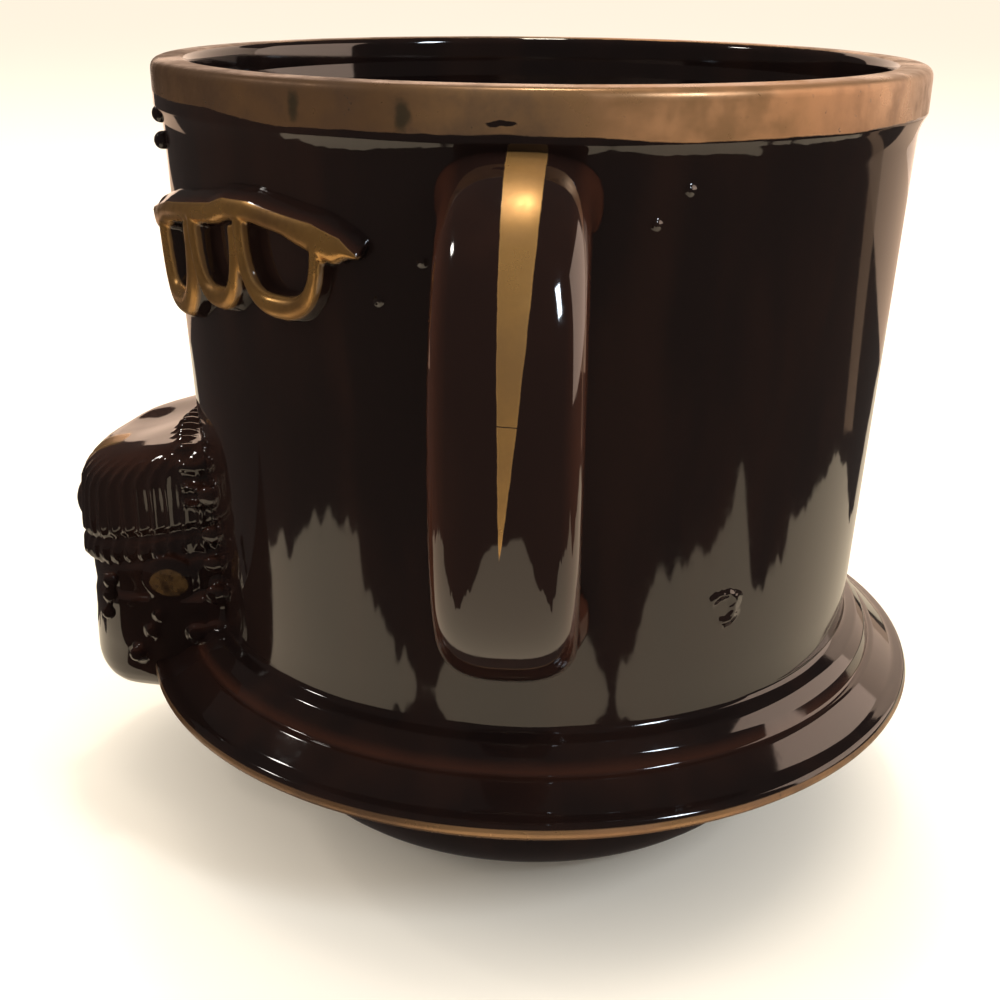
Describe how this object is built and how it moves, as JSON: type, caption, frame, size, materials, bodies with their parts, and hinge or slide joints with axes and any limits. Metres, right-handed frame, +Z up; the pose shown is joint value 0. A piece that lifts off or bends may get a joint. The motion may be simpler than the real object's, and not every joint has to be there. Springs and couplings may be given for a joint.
{
  "type": "mug planter",
  "caption": "Oversized glazed mug used as a planter, with a strap handle, a cast-on saucer, a rounded foot and raised ornament on its front.",
  "frame": {"origin": "middle of the foot's flat underside", "axes": "+Z up along the mug's axis; the handle points to -Y; the front with the ribbed boss points to -X"},
  "size_m": [0.1999, 0.2032, 0.17],
  "materials": {
    "glaze": "mirror-gloss dark brown glaze over fired earthenware, redder where it runs thin, with worn gold trim"
  },
  "bodies": {
    "root": {"mug": "glaze"}
  },
  "joints": []
}
